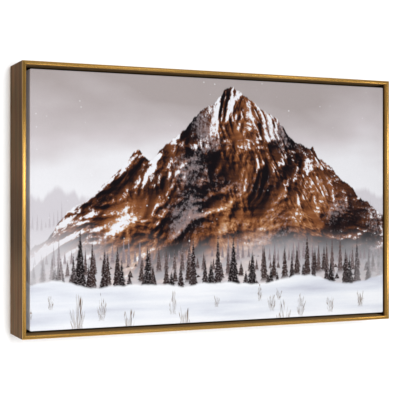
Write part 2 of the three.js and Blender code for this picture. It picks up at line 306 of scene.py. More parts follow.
class Finish(Graph):
    """A material in the making."""

    def __init__(self, name):
        self.material = bpy.data.materials.new(name)
        self.material.use_nodes = True
        super().__init__(self.material.node_tree)
        self.tree.nodes.clear()

    def place(self):
        """How far a point is from the picture's middle, behind the lip's face, and up."""
        x, y, z = self.split(self.add("ShaderNodeTexCoord", out="Object"))
        return x - MIDDLE.x, y - LIP_FRONT, z - MIDDLE.z

    def noise(self, vector, scale=1.0, detail=2.0, rough=0.5, twist=0.0):
        sockets = {"Vector": vector, "Scale": scale, "Detail": detail, "Roughness": rough,
                   "Distortion": twist}
        return self.add("ShaderNodeTexNoise", None, sockets, "Fac")

    def rise(self, value, low, high):
        """0 below low, 1 above high, and smooth between."""
        sockets = {"Value": value, "From Min": low, "From Max": high}
        return self.add("ShaderNodeMapRange", {"interpolation_type": "SMOOTHSTEP"}, sockets)

    def within(self, value, low, high):
        """The value, held between two limits."""
        return self.add("ShaderNodeClamp", None, {"Value": value, "Min": low, "Max": high})

    def blend(self, amount, first, second):
        """first where amount is 0, and second where it is 1."""
        sockets = {"Factor_Float": amount, "A_Color": first, "B_Color": second}
        return self.add("ShaderNodeMix", {"data_type": "RGBA"}, sockets, "Result_Color")

    def dim(self, colour, amount):
        """A colour made darker or lighter by a factor."""
        sockets = {"Vector": colour, "Scale": amount}
        return self.add("ShaderNodeVectorMath", {"operation": "SCALE"}, sockets, "Vector")

    def ramp(self, value, *stops):
        return self.add("ShaderNodeValToRGB", {"stops": stops}, {"Fac": value}, "Color")

    def bump(self, height, distance, strength=1.0):
        sockets = {"Height": height, "Distance": distance, "Strength": strength}
        return self.add("ShaderNodeBump", None, sockets, "Normal")

    def done(self, **sockets):
        inputs = {name.replace("_", " "): value for name, value in sockets.items()}
        surface = self.add("ShaderNodeBsdfPrincipled", None, inputs)
        self.add("ShaderNodeOutputMaterial", None, {"Surface": surface})
        return self.material


# ---------- finishes of the frame and its fittings ----------

# the channel's colour, from the lip's edge to the dark, and how deep it runs in mm: black paint in its
# depth, with painted shade that darkens it further into the recess, sooner on the uprights
CHANNEL_UPRIGHT = 7, ((0.0, "dcab62"), (0.35, "c0924c"), (0.6, "8a6436"), (0.9, "2a1e14"))
CHANNEL_ACROSS = 38, ((0.0, "b58947"), (0.15, "a98a60"), (0.4, "a98a60"), (0.72, "1c1510"))


def gilt(name, upright):
    """Brushed gold leaf on the lip over a bronze stain, black paint and painted shade in the channel,
    raw behind.
    """
    f = Finish(name)
    x, depth, z = f.place()
    along, inset = (z, FRAME_WIDTH / 2 - abs(x)) if upright else (x, FRAME_HEIGHT / 2 - abs(z))
    across = inset * 1000
    fine = f.noise(f.join(across * 5, depth * 5000, along * 22), detail=4, rough=0.65)
    broad = f.noise(f.join(across * 0.7, depth * 700, along * 9), detail=3, rough=0.6)
    drift = f.noise(f.join(along * 9, 3.0 if upright else 7.0, 0.0), detail=2)

    leaf = f.ramp(fine * 0.6 + broad * 0.5 - 0.03,
                  (0.25, "c08a3e"), (0.5, "e6b05c"), (0.75, "f6c878"))
    rubbed = f.rise(depth * 1000 + broad * 0.8, 0.8, 1.3)
    leaf = f.blend(rubbed * 0.6, leaf, "8a6238")
    if upright:
        # painted shade: the leaf is made darker at the top of the left rail, for a dimmer reflection
        # there
        painted_shade_left_top = f.rise(along, 0.06, 0.1) * f.rise(-x, 0.1, 0.2)  # the top of the left rail
        leaf = f.dim(leaf, 1 - painted_shade_left_top * 0.38)

    streak = f.noise(f.join(across * 0.3, depth * 300, along * 5), detail=2)
    hue = f.noise(f.join(across * 0.3 + 5, depth * 300, along * 26), detail=3, rough=0.6)
    stain = f.ramp(fine * 0.4 + broad * 0.25 + streak * 0.35,
                   (0.36, "2e2017"), (0.5, "583d29"), (0.64, "7d5b3c"))
    stain = f.blend(f.rise(hue, 0.46, 0.6) * 0.55, stain, "4c4630")
    wander = along + (broad - 0.5) * 0.05 + (drift - 0.5) * 0.03
    # the stain is made lighter towards the low end of each rail's length (the bottom of an upright,
    # the left of a rail across), and a little lighter past its middle the other way
    lighter_low_and_high = f.rise(-wander, 0.04, 0.075) * 0.7 + f.rise(wander, 0.0, 0.03) * 0.18
    stain = f.dim(stain, (0.68 + drift * 0.5) * (1 + lighter_low_and_high))

    # painted shade: the channel's colour darkens with depth into the recess, on top of its black paint
    reach, stops = CHANNEL_UPRIGHT if upright else CHANNEL_ACROSS
    paint_and_shade_depth = depth * (1000 / reach) + (broad - 0.5) * 0.1
    channel = f.ramp(f.within(paint_and_shade_depth, 0.0, 1.0), *stops)
    ring = f.noise(f.join(across * 0.35, depth * 350, along * 3), detail=3, twist=0.6)
    raw = f.ramp(ring * 0.7 + fine * 0.3, (0.3, "b7946a"), (0.5, "cdb088"), (0.7, "dfc8a2"))

    in_channel = f.rise(inset, LIP_WIDTH - 0.00035, LIP_WIDTH - 0.0001)
    behind = f.rise(depth, FRAME_DEPTH - 0.0004, FRAME_DEPTH - 0.0001)
    flange = f.rise(inset, LEDGE_WIDTH - 0.0006, LEDGE_WIDTH - 0.0002)
    bare = f.math("MAXIMUM", behind, flange)
    gold = 1 - f.rise(depth + (fine - 0.5) * 0.0004, 0.0004, 0.0011)

    colour = f.blend(in_channel, stain, channel)
    colour = f.blend(bare, colour, raw)
    colour = f.blend(gold, colour, leaf)
    rough = 0.66 - gold * (0.6 - fine * 0.12 - broad * 0.06)
    height = fine * 0.6 + broad * 0.4
    return f.done(Base_Color=colour, Metallic=gold, Roughness=rough, Specular_IOR_Level=0.02,
                  Normal=f.bump(height, 0.00004, 0.5))


def timber(name, upright, pale, middle, dark, grain=1.0):
    """Planed softwood or beech, with its grain along the piece."""
    f = Finish(name)
    x, depth, z = f.place()
    along, across = (z, x) if upright else (x, z)
    ring = f.noise(f.join(across * 130 * grain, depth * 130 * grain, along * 3), detail=2, twist=0.4)
    waves = f.math("SINE", ring * 34 + across * 900)
    pores = f.noise(f.join(across * 2600, depth * 2600, along * 60), detail=3, rough=0.7)
    cloud = f.noise(f.join(across * 20, depth * 20, along * 8), detail=3)
    tone = 0.5 + waves * 0.16 + (pores - 0.5) * 0.5 + (cloud - 0.5) * 0.7
    colour = f.ramp(tone, (0.2, dark), (0.5, middle), (0.8, pale))
    return f.done(Base_Color=colour, Roughness=0.66 + (pores - 0.5) * 0.3,
                  Specular_IOR_Level=0.3, Normal=f.bump(pores * 0.7 + waves * 0.15, 0.00008, 0.6))


def metal(name, dark, light, rough, scratch=1.0):
    f = Finish(name)
    x, depth, z = f.place()
    cloud = f.noise(f.join(x, depth, z), scale=420, detail=4, rough=0.6)
    brushed = f.noise(f.join(x * 260, depth * 3000, z * 4200), detail=3, rough=0.7)
    tone = cloud * 0.6 + brushed * 0.4 * scratch
    colour = f.ramp(tone, (0.3, dark), (0.62, light))
    return f.done(Base_Color=colour, Metallic=1.0, Roughness=rough + (tone - 0.5) * 0.3,
                  Normal=f.bump(tone, 0.00003, 0.5))


def felt(name):
    f = Finish(name)
    x, depth, z = f.place()
    vector = f.join(x, depth, z)
    fuzz = f.noise(vector, scale=2600, detail=5, rough=0.75, twist=1.5)
    clumps = f.noise(vector, scale=520, detail=3)
    colour = f.ramp(fuzz * 0.6 + clumps * 0.4, (0.3, "242322"), (0.5, "3b3936"), (0.7, "56534f"))
    return f.done(Base_Color=colour, Roughness=0.95, Specular_IOR_Level=0.15,
                  Sheen_Weight=0.3, Normal=f.bump(fuzz, 0.0004, 0.8))


# ---------- the cloth and its picture ----------

def weave(f, u, v):
    """The height of a plain weave, from 0 to 1, with uneven threads."""
    slub = f.noise(f.join(u * 260, v * 900, 0.0), detail=2) - 0.5
    slub_up = f.noise(f.join(u * 900, v * 260, 4.0), detail=2) - 0.5
    turn = 2 * math.pi / WEAVE
    over = f.math("SINE", u * turn + slub * 2.4) * f.math("SINE", v * turn + slub_up * 2.4)
    return 0.5 + over * 0.4 + (slub + slub_up) * 0.5


def raw_cotton():
    f = Finish("raw_cotton")
    x, depth, z = f.place()
    threads = weave(f, x, z)
    cloud = f.noise(f.join(x, depth, z), scale=150, detail=3)
    flecks = f.rise(f.noise(f.join(x, depth, z), scale=900, detail=2), 0.68, 0.76)
    colour = f.ramp(threads * 0.7 + cloud * 0.3, (0.25, "b9af99"), (0.5, "dad1bd"), (0.75, "ebe4d5"))
    colour = f.blend(flecks * 0.5, colour, "7d6a4c")
    return f.done(Base_Color=colour, Roughness=0.9, Specular_IOR_Level=0.2,
                  Normal=f.bump(threads, 0.00018, 0.9))


def primed_canvas():
    """The cloth beyond the print, white with primer."""
    f = Finish("primed_canvas")
    x, depth, z = f.place()
    threads = weave(f, x, z)
    return f.done(Base_Color=f.blend(threads, "c0bdb4", "cfccc3"),
                  Roughness=0.7 + threads * 0.12, Specular_IOR_Level=0.1,
                  Normal=f.bump(threads, 0.00012, 0.7))


def tent(f, aside, peak, left, right):
    """A peak with a slope on each side."""
    return peak - f.math("MAXIMUM", aside * right, aside * -left)


def conifers(f, x, y, wide, foot, tall, seed):
    """1 inside a row of firs. wide is the room each one has, tall its height."""
    place = x / wide + seed * 0.37
    cell = f.math("FLOOR", place)

    def chance(salt):
        return f.add("ShaderNodeTexWhiteNoise", {"noise_dimensions": "2D"},
                     {"Vector": f.join(cell, seed + salt)}, "Value")

    aside = abs(f.math("FRACT", place) - 0.32 - chance(9.5) * 0.36)
    clump = f.noise(f.join(cell * wide * 4.2, seed), detail=3)
    grown = f.within((clump - 0.4) * 6.0, 0.1, 1.0) * (0.4 + chance(0.0) * 0.75)
    up = (y - foot) / (grown * tall)
    tiers = f.math("FRACT", up * (4.5 + chance(3.0) * 2.0) + chance(5.0))
    ragged = f.noise(f.join(x * 150, y * 110, seed), detail=4, rough=0.7) - 0.5
    half = (1 - up) * (0.4 - tiers * 0.14) * (0.6 + grown * 0.4) + ragged * 0.16
    return f.rise(half - aside, -0.03, 0.06) * f.rise(up, -0.35, -0.1)


def dry_grass(f, x, y, wide, foot, tall, seed):
    """A row of grass tufts, and how pale each blade is. wide is the room each tuft has."""
    place = x / wide + seed * 0.41
    cell = f.math("FLOOR", place)
    luck = f.add("ShaderNodeTexWhiteNoise", {"noise_dimensions": "2D"},
                 {"Vector": f.join(cell, seed)}, "Value")
    up = (y - foot - (f.math("FRACT", luck * 17) - 0.5) * 0.05) / (tall * (0.5 + luck * 0.7))
    lean = (f.math("FRACT", place) - 0.4 - luck * 0.2) / (0.07 + abs(up) * 0.3)
    blades = f.noise(f.join(lean * 3.2 + cell * 5.3, seed, up * 0.5), detail=2, rough=0.6)
    length = (blades - 0.2) * 2.2 * (1 - lean * lean * 0.9)
    inside = f.rise(length - up, 0.0, 0.1) * f.rise(up, -0.1, 0.02)
    inside = inside * f.rise(f.math("SINE", blades * 58), 0.2, 0.8)
    return inside * f.math("GREATER_THAN", luck, 0.35), f.math("FRACT", blades * 9.3)


def russet_mountain(f, u, v):
    """The picture's colour: a russet mountain over firs and snow, in picture heights."""
    x, y = u / PRINT_HEIGHT, v / PRINT_HEIGHT

    def patch(wide, tall, seed, detail=3.0, rough=0.5, twist=0.0):
        vector = f.join(x / wide, y / tall, seed)
        return f.noise(vector, detail=detail, rough=rough, twist=twist)

    # a pale sky with soft cloud, and far woods in it
    cloud = patch(0.5, 0.26, 1.0, detail=3)
    sky = f.ramp(f.within(y + 0.5 + (cloud - 0.5) * 0.5, 0.0, 1.0),
                 (0.3, "f4f5f9"), (0.58, "ecebef"), (0.76, "cfc7ca"), (0.98, "aea4a3"))
    far = -0.03 + (patch(0.32, 99.0, 2.0, detail=5, rough=0.6) - 0.5) * 0.5 + abs(x) * 0.1
    colour = f.blend(f.rise(far - y, -0.012, 0.02) * 0.6, sky, "c2bac2")
    woods = conifers(f, x, y, 0.016, -0.12 + (far + 0.03) * 0.4, 0.11, 21.0)
    colour = f.blend(woods * 0.55, colour, "b3a9b1")

    # the mountain, its ribs spread like a fan from the summit
    aside = x - 0.06
    jag = (patch(0.2, 99.0, 5.0, detail=7, rough=0.62) - 0.5) * 0.2
    height = f.math("MAXIMUM", tent(f, aside, 0.48, 0.86, 0.74), tent(f, aside + 0.42, 0.2, 0.9, 0.5))
    height = f.math("MAXIMUM", height, tent(f, aside - 0.38, 0.22, 0.5, 1.7)) + jag
    below = height - y

    def relief(dx, dy):
        low = 0.47 - dy - y
        fan = (aside + dx) / (0.34 + low)
        vector = f.join(fan * 3.0 + low * 0.8, low * 3.4 - fan * 0.7, 8.0)
        return f.add("ShaderNodeTexNoise", {"noise_type": "RIDGED_MULTIFRACTAL"},
                    {"Vector": vector, "Scale": 1.0, "Detail": 7.0, "Roughness": 0.62,
                     "Lacunarity": 2.1, "Offset": 0.9, "Gain": 2.0, "Distortion": 0.35}, "Fac")

    slope = (relief(0.0, 0.0) - relief(-0.012, 0.01)) * 0.85
    broad = patch(0.3, 0.36, 12.0)
    strata = patch(0.4, 0.02, 15.0, detail=4, rough=0.6)
    shade = 0.39 + slope + (broad - 0.5) * 1.5 + (strata - 0.5) * 0.3
    rock = f.ramp(f.within(shade, 0.0, 1.0),
                  (0.04, "100c10"), (0.22, "2a1917"), (0.38, "56311f"), (0.54, "86502f"),
                  (0.72, "b07a50"), (0.95, "dcb38c"))
    grit = patch(0.012, 0.016, 20.0, detail=5, rough=0.7)
    ledge = slope * 1.3 + (grit - 0.5) * 1.2 + (0.12 - below) * 1.0 + (broad - 0.5) * 0.9
    snow = f.rise(ledge, 0.16, 0.42)
    frost = f.rise(grit + slope * 0.4 + (patch(0.24, 0.2, 23.0) - 0.5) * 1.2, 0.55, 0.8)
    rock = f.blend(frost * 0.5, rock, "b3a6aa")
    lit = f.ramp(f.within(0.5 + slope * 0.9, 0.0, 1.0), (0.25, "9c95a8"), (0.6, "f0f0f5"))
    rock = f.blend(snow, rock, lit)
    colour = f.blend(f.rise(below, -0.003, 0.004), colour, rock)

    # mist at its foot, then the forest
    veil = patch(0.5, 0.3, 25.0, detail=4)
    mist = f.rise(-y + (veil - 0.5) * 0.25 + f.rise(-x, 0.4, 0.8) * 0.12, 0.12, 0.36)
    colour = f.blend(mist * 0.8, colour, "e6e3e8")
    for wide, foot, tall, seed, code in (
        (0.024, -0.24, 0.09, 3.0, "8e8084"),
        (0.034, -0.275, 0.125, 7.0, "5e4d4b"),
        (0.05, -0.31, 0.17, 12.0, "3a2a26"),
        (0.056, -0.34, 0.205, 34.0, "2a1d1c"),
        (0.094, -0.37, 0.26, 16.0, "17100f"),
    ):
        roll = (patch(0.35, 99.0, seed + 0.5, detail=3) - 0.5) * 0.1
        trees = conifers(f, x, y, wide, foot + roll, tall, seed)
        tips = patch(0.007, 0.004, seed, detail=2)
        bark = f.blend(f.rise(tips, 0.54, 0.66) * 0.55, code, "c9bcc0")
        colour = f.blend(trees * (1 - f.rise(abs(x), 0.6, 0.8) * 0.85), colour, bark)

    # a snow field with straw
    rim = -0.34 + (patch(0.5, 99.0, 30.0, detail=4, rough=0.55) - 0.5) * 0.22
    drift = patch(0.7, 0.08, 33.0, detail=5)
    white = f.ramp(drift, (0.3, "cbcddb"), (0.45, "e8ebf3"), (0.58, "f8f9fd"))
    colour = f.blend(f.rise(rim - y, -0.004, 0.008), colour, white)
    for wide, foot, tall, seed in ((0.1, -0.43, 0.06, 36.0), (0.15, -0.475, 0.1, 39.0),
                                   (0.23, -0.53, 0.18, 42.0)):
        straw, pale = dry_grass(f, x, y, wide, foot, tall, seed)
        colour = f.blend(straw * 0.9, colour, f.ramp(pale, (0.2, "4d3019"), (0.8, "c79c58")))

    # flecks of falling snow
    spot = f.add("ShaderNodeTexVoronoi", None,
                 {"Vector": f.join(x, y, 0.0), "Scale": 26.0, "Randomness": 1.0}, "Distance")
    flake = (1 - f.rise(spot, 0.04, 0.11)) * f.rise(patch(0.07, 0.07, 44.0), 0.5, 0.6)
    return f.blend(flake * 0.8, colour, "f4f4f8")


def printed_canvas():
    f = Finish("printed_canvas")
    u, v, _ = f.split(f.add("ShaderNodeUVMap", {"uv_map": "Picture"}))
    past = f.add("ShaderNodeAttribute", {"attribute_name": "past"}, None, "Fac")
    threads = weave(f, u, v)
    picture = f.dim(russet_mountain(f, u, v), 0.76)
    edge = f.noise(f.join(u, v), scale=300, detail=3) * 0.0008
    bare = f.rise(past + edge, PRINT_DEPTH + BLEED, PRINT_DEPTH + BLEED + 0.0006)
    colour = f.blend(bare, picture, "c9c6bd")
    colour = f.dim(colour, 0.93 + threads * 0.1)
    return f.done(Base_Color=colour, Roughness=0.7 + threads * 0.12, Specular_IOR_Level=0.1,
                  Normal=f.bump(threads, 0.00012, 0.7))


# ---------- meshes ----------

def add_object(name, mesh, *materials):
    for material in materials:
        mesh.materials.append(material)
    piece = bpy.data.objects.new(name, mesh)
    bpy.context.scene.collection.objects.link(piece)
    return piece


def from_bmesh(name, bm, *materials):
    mesh = bpy.data.meshes.new(name)
    bm.to_mesh(mesh)
    bm.free()
    return add_object(name, mesh, *materials)


def smooth(piece, degrees=35):
    piece.data.shade_smooth()
    piece.data.set_sharp_from_angle(angle=math.radians(degrees))


def settle(piece):
    """Makes a piece's modifiers part of its mesh."""
    graph = bpy.context.evaluated_depsgraph_get()
    mesh = bpy.data.meshes.new_from_object(piece.evaluated_get(graph))
    mesh.name = piece.name
    piece.modifiers.clear()
    piece.data = mesh


def hand_over(piece, slot, *nodes):
    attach(piece, BODY)
    if nodes:
        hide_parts(*nodes)


def eased_copy(name, node, radius, material, slot):
    """A copy of a CAD node with its corners eased."""
    bm = bmesh.new()
    bm.from_mesh(bpy.data.objects[node].data)
    bm.transform(bpy.data.objects[node].matrix_world)
    bmesh.ops.remove_doubles(bm, verts=bm.verts, dist=1e-6)
    bmesh.ops.dissolve_limit(bm, angle_limit=math.radians(1), verts=bm.verts, edges=bm.edges)
    corners = [e for e in bm.edges if e.is_manifold and e.calc_face_angle() > math.radians(40)]
    bmesh.ops.bevel(bm, geom=corners, offset=radius, offset_type="OFFSET", segments=2,
                    profile=0.5, affect="EDGES", clamp_overlap=True)
    piece = from_bmesh(name, bm, material)
    smooth(piece)
    hand_over(piece, slot, node)


def turned(outline, steps, place=(0, 0, 0)):
    """A closed shape turned about Y from (radius, y) points, the first and last on the axis."""
    bm = bmesh.new()
    rings = []
    for radius, y in outline:
        if radius == 0:
            rings.append([bm.verts.new((0, y, 0))])
            continue
        rings.append([bm.verts.new((radius * math.cos(a), y, radius * math.sin(a)))
                      for a in (2 * math.pi * i / steps for i in range(steps))])
    for low, high in zip(rings, rings[1:]):
        for i in range(steps):
            corners = [low[i % len(low)], low[(i + 1) % len(low)],
                       high[(i + 1) % len(high)], high[i % len(high)]]
            bm.faces.new(list(dict.fromkeys(corners)))
    bmesh.ops.recalc_face_normals(bm, faces=bm.faces)
    bmesh.ops.translate(bm, verts=bm.verts, vec=place)
    return bm


# ---------- the floater frame ----------

def rail_outline():
    """The moulding's section as (inset from the outer side, depth behind the lip's face)."""
    r, steps = LIP_EDGE_RADIUS, 6
    points = [(0.0, FRAME_DEPTH - OUTER_EASE)]
    for i in range(steps + 1):
        a = math.pi / 2 * i / steps
        points.append((r * (1 - math.cos(a)), r * (1 - math.sin(a))))
    for i in range(steps + 1):
        a = math.pi / 2 * i / steps
        points.append((LIP_WIDTH - r * (1 - math.sin(a)), r * (1 - math.cos(a))))
    points += [(LIP_WIDTH, LEDGE_FRONT - LEDGE_FILLET),
               (LIP_WIDTH + LEDGE_FILLET * 0.3, LEDGE_FRONT - LEDGE_FILLET * 0.3),
               (LIP_WIDTH + LEDGE_FILLET, LEDGE_FRONT),
               (LEDGE_WIDTH - LEDGE_EASE, LEDGE_FRONT), (LEDGE_WIDTH, LEDGE_FRONT + LEDGE_EASE),
               (LEDGE_WIDTH, FRAME_DEPTH - LEDGE_EASE), (LEDGE_WIDTH - LEDGE_EASE, FRAME_DEPTH),
               (OUTER_EASE, FRAME_DEPTH)]
    return points


SIDES = {  # the way out of the picture and the way along each side, both in (x, z)
    "top": ((0, 1), (1, 0)), "bottom": ((0, -1), (-1, 0)),
    "left": ((-1, 0), (0, 1)), "right": ((1, 0), (0, -1)),
}
RAIL_STEPS = 24


def build_rail(side, finish):
    out, way = (Vector((d[0], 0, d[1])) for d in SIDES[side])
    half = Vector((FRAME_WIDTH / 2, 0, FRAME_HEIGHT / 2))
    reach, length = abs(half.dot(out)), abs(half.dot(way))
    bm = bmesh.new()
    sections = []
    for i in range(RAIL_STEPS + 1):
        share = 2 * i / RAIL_STEPS - 1
        section = []
        for inset, depth in rail_outline():
            end = length - inset - MITRE_RELIEF
            point = MIDDLE + out * (reach - inset) + way * (share * end)
            point.y = LIP_FRONT + depth
            section.append(bm.verts.new(point))
        sections.append(section)
    for near, far in zip(sections, sections[1:]):
        for i in range(len(near)):
            j = (i + 1) % len(near)
            bm.faces.new((near[i], near[j], far[j], far[i]))
    bm.faces.new(sections[0])
    bm.faces.new(list(reversed(sections[-1])))
    bmesh.ops.recalc_face_normals(bm, faces=bm.faces)
    piece = from_bmesh("rail_" + side, bm, finish)
    smooth(piece, 40)
    hand_over(piece, "frame_gold", "frame_" + side)


# ---------- the cloth ----------

CLOTH_STEPS_X, CLOTH_STEPS_Z = 96, 60
CORNER_STEPS = 3
SIDE_STEPS, RETURN_STEPS = 6, 8
SLACK = 0.00006  # of the cloth on the back of the bars

# where the unfolded cloth's outer and inner faces lie on its map for baking
MAP_MIDDLE = (0.5, 0.36)
INNER_SCALE = 0.38
INNER_CORNER = (0.01, 0.725)


def cloth_loops():
    """(inset, depth, how far past the face's edge) of each loop, from the face to the cut."""
    r, d = CLOTH_EDGE_RADIUS, PRINT_DEPTH
    loops, quarter = [], [math.pi / 2 * i / 4 for i in range(5)]
    loops += [(r * (1 - math.sin(a)), r * (1 - math.cos(a)), r * a) for a in quarter]
    past = r * math.pi / 2
    for i in range(1, SIDE_STEPS + 1):
        run = (d - 2 * r) * i / SIDE_STEPS
        loops.append((0.0, r + run, past + run))
    past += d - 2 * r
    loops += [(r * (1 - math.cos(a)), d - r * (1 - math.sin(a)), past + r * a) for a in quarter[1:]]
    past += r * math.pi / 2
    for i in range(1, RETURN_STEPS + 1):
        run = (CLOTH_RETURN - r) * i / RETURN_STEPS
        loops.append((r + run, d, past + run))
    return loops


def ring_points(inset):
    """Points round a rectangle with rounded corners, as (x, z, outward x, outward z)."""
    corner = max(CLOTH_CORNER_RADIUS - inset, 0)
    half_x, half_z = PRINT_WIDTH / 2 - inset, PRINT_HEIGHT / 2 - inset
    points = []
    for turn in range(4):
        across, up = (half_x, half_z) if turn % 2 == 0 else (half_z, half_x)
        steps = CLOTH_STEPS_X if turn % 2 == 0 else CLOTH_STEPS_Z
        side = [(-(across - corner) + 2 * (across - corner) * i / steps, up, 0.0, 1.0)
                for i in range(steps + 1)]
        for i in range(1, CORNER_STEPS):
            a = math.pi / 2 * i / CORNER_STEPS
            side.append((across - corner + corner * math.sin(a), up - corner + corner * math.cos(a),
                         math.sin(a), math.cos(a)))
        c, s = math.cos(-turn * math.pi / 2), math.sin(-turn * math.pi / 2)
        points += [(x * c - z * s, x * s + z * c, nx * c - nz * s, nx * s + nz * c)
                   for x, z, nx, nz in side]
    return points


def ragged(x, z):
    """A slow wander for a hand-cut edge."""
    return (math.sin(x * 61 + z * 83) + 0.6 * math.sin(x * 173 - z * 211 + 1.3)
            + 0.4 * math.sin(x * 517 + z * 433)) * 0.0004


def build_corner_folds(finish):
    """The doubled layer at each back corner, where the cloth folds over itself on a slant."""
    corners = ((FOLD_START, FOLD_START, FOLD_THICKNESS), (FOLD_END, FOLD_END, FOLD_THICKNESS),
               (FOLD_END + FOLD_RUN, FOLD_END, FOLD_EDGE_THICKNESS),
               (FOLD_START + FOLD_RUN, FOLD_START, FOLD_EDGE_THICKNESS))
    y = PRINT_HIGH.y + FOLD_LIFT
    bm = bmesh.new()
    for side_x, side_z in ((-1, -1), (-1, 1), (1, -1), (1, 1)):
        low, high = [], []
        for along, inset, rise in corners:
            x = MIDDLE.x + side_x * (PRINT_WIDTH / 2 - along)
            z = MIDDLE.z + side_z * (PRINT_HEIGHT / 2 - inset)
            low.append(bm.verts.new((x, y, z)))
            high.append(bm.verts.new((x, y + rise, z)))
        bm.faces.new(low)
        bm.faces.new(high)
        for i in range(4):
            j = (i + 1) % 4
            bm.faces.new((low[i], low[j], high[j], high[i]))
    bmesh.ops.recalc_face_normals(bm, faces=bm.faces)
    piece = from_bmesh("corner_folds", bm, finish)
    hand_over(piece, "printed_canvas")
    return piece


def add_wrap(bm, loops, spot):
    """The cloth's edges, sides and returns. spot keeps each point's places on the two maps."""
    past_layer = bm.verts.layers.float.new("past")
    first = ring_points(loops[0][0])
    rings = []
    for number, (inset, depth, past) in enumerate(loops, 1):
        ring = []
        for (x, z, nx, nz), (x0, z0, _, _) in zip(ring_points(inset), first):
            if number == len(loops):
                x, z = x - nx * ragged(x, z), z - nz * ragged(z, x)
            slack = SLACK * abs(math.sin(x * 190) * math.sin(z * 170)) if depth == PRINT_DEPTH else 0
            vert = bm.verts.new((MIDDLE.x + x, PRINT_LOW.y + depth - slack, MIDDLE.z + z))
            vert[past_layer] = past
            flat_x = x0 - nx * past if nx else x
            flat_z = z0 - nz * past if nz else z
            spot[vert] = ((flat_x, flat_z), (x0 + nx * past, z0 + nz * past))
            ring.append(vert)
        rings.append(ring)
    for near, far in zip(rings, rings[1:]):
        for i in range(len(near)):
            j = (i + 1) % len(near)
            bm.faces.new((near[i], near[j], far[j], far[i]))


def add_face(bm, inset, spot):
    """The flat front of the cloth, inside its rounded edge."""
    half_x, half_z = PRINT_WIDTH / 2 - inset, PRINT_HEIGHT / 2 - inset
    grid = []
    for row in range(CLOTH_STEPS_Z + 1):
        z = -half_z + 2 * half_z * row / CLOTH_STEPS_Z
        line = []
        for column in range(CLOTH_STEPS_X + 1):
            x = -half_x + 2 * half_x * column / CLOTH_STEPS_X
            vert = bm.verts.new((MIDDLE.x + x, PRINT_LOW.y, MIDDLE.z + z))
            spot[vert] = ((x, z), (x, z))
            line.append(vert)
        grid.append(line)
    for low, high in zip(grid, grid[1:]):
        for i in range(CLOTH_STEPS_X):
            bm.faces.new((low[i], low[i + 1], high[i + 1], high[i]))


def map_inner_face(mesh):
    """Moves the wall's inner side to a place of its own on the map for baking."""
    corners = mesh.uv_layers["OFBake"].data
    for face in mesh.polygons:
        if face.material_index == 1:
            for index in face.loop_indices:
                u, v = corners[index].uv
                corners[index].uv = (INNER_CORNER[0] + u * INNER_SCALE,
                                     INNER_CORNER[1] + v * INNER_SCALE)


def build_cloth(face_finish, back_finish):
    bm = bmesh.new()
    picture = bm.loops.layers.uv.new("Picture")
    unfolded = bm.loops.layers.uv.new("OFBake")
    loops, spot = cloth_loops(), {}
    add_wrap(bm, loops, spot)
    add_face(bm, loops[0][0], spot)
    cut_width = PRINT_WIDTH + 2 * loops[-1][2]
    for face in bm.faces:
        for loop in face.loops:
            on_picture, flat = spot[loop.vert]
            loop[picture].uv = on_picture
            loop[unfolded].uv = [m + f / cut_width for m, f in zip(MAP_MIDDLE, flat)]
    bmesh.ops.remove_doubles(bm, verts=bm.verts, dist=1e-6)
    bmesh.ops.recalc_face_normals(bm, faces=bm.faces)
    piece = from_bmesh("printed_canvas", bm, face_finish, back_finish)
    wall = piece.modifiers.new("thickness", "SOLIDIFY")
    wall.thickness = CLOTH_THICKNESS
    wall.offset = -1
    wall.material_offset = wall.material_offset_rim = 1
    settle(piece)
    map_inner_face(piece.data)
    smooth(piece, 40)
    hand_over(piece, "printed_canvas", "canvas")
    return piece


# ---------- what repeats: staples, screws and corner nails ----------

def geometry_tree(name, inputs):
    """An empty tree with named inputs, its graph, and the inputs as values."""
    tree = bpy.data.node_groups.new(name, "GeometryNodeTree")
    face = tree.interface
    face.new_socket("Geometry", in_out="INPUT", socket_type="NodeSocketGeometry")
    face.new_socket("Geometry", in_out="OUTPUT", socket_type="NodeSocketGeometry")
    for label, kind in inputs.items():
        face.new_socket(label, in_out="INPUT", socket_type="NodeSocket" + kind)
    graph = Graph(tree)
    entry = tree.nodes.new("NodeGroupInput")
    return graph, {s.name: Value(graph, s) for s in entry.outputs if s.name}


def end_tree(graph, instances, material):
    solid = graph.add("GeometryNodeRealizeInstances", None, {"Geometry": instances})
    solid = graph.add("GeometryNodeSetMaterial", None, {"Geometry": solid, "Material": material})
    graph.add("NodeGroupOutput", None, {0: solid})


def grow(name, points, edges, graph, values):
    """Runs a tree on points or lines, and keeps what it makes as a plain mesh."""
    mesh = bpy.data.meshes.new(name)
    mesh.from_pydata(points, edges, [])
    piece = add_object(name, mesh)
    modifier = piece.modifiers.new("grow", "NODES")
    modifier.node_group = graph.tree
    for item in graph.tree.interface.items_tree:
        if item.in_out == "INPUT" and item.name in values:
            modifier[item.identifier] = values[item.name]
    settle(piece)
    return piece


